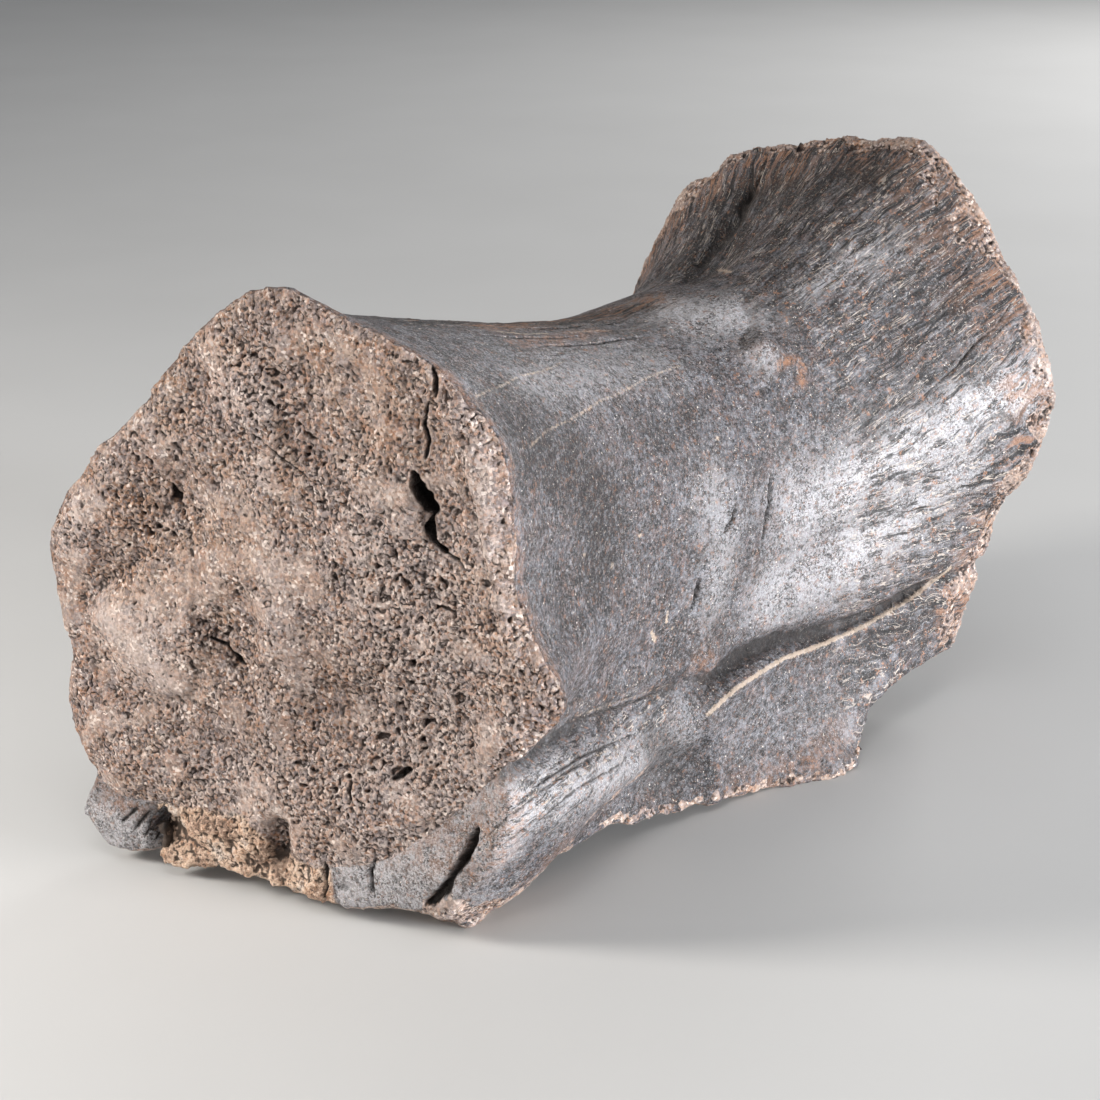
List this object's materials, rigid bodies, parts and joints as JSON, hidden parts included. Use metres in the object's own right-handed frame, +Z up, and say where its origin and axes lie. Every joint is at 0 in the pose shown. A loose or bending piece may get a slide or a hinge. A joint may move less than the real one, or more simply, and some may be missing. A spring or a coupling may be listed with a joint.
{
  "type": "fossil dinosaur vertebra",
  "caption": "Fossil tail vertebra, upside down: hourglass centrum with flared, worn ends, resting on the broken bases of its neural arch, its canal plugged with sediment.",
  "frame": {"origin": "bottom centre of the bounding box, on the surface that the bone lies on", "axes": "+X along the centrum from the worn near end to the flared far end, -Y towards the side with the broad arch web, +Z up"},
  "size_m": [0.1614, 0.1074, 0.1139],
  "materials": {
    "polished_bone": "dark slate brown mineralised bone with fine pale grain, satin sheen",
    "worn_bone": "rough, pitted, spongy bone in tan and rust brown, matt",
    "sediment": "lumpy hardened sand and mud, matt"
  },
  "bodies": {
    "root": {"centrum": "polished_bone", "articular_face_near": "worn_bone", "articular_face_far": "worn_bone", "pedicle_camera_side": "polished_bone", "pedicle_hidden_side": "polished_bone", "canal_sediment": "sediment"}
  },
  "joints": []
}
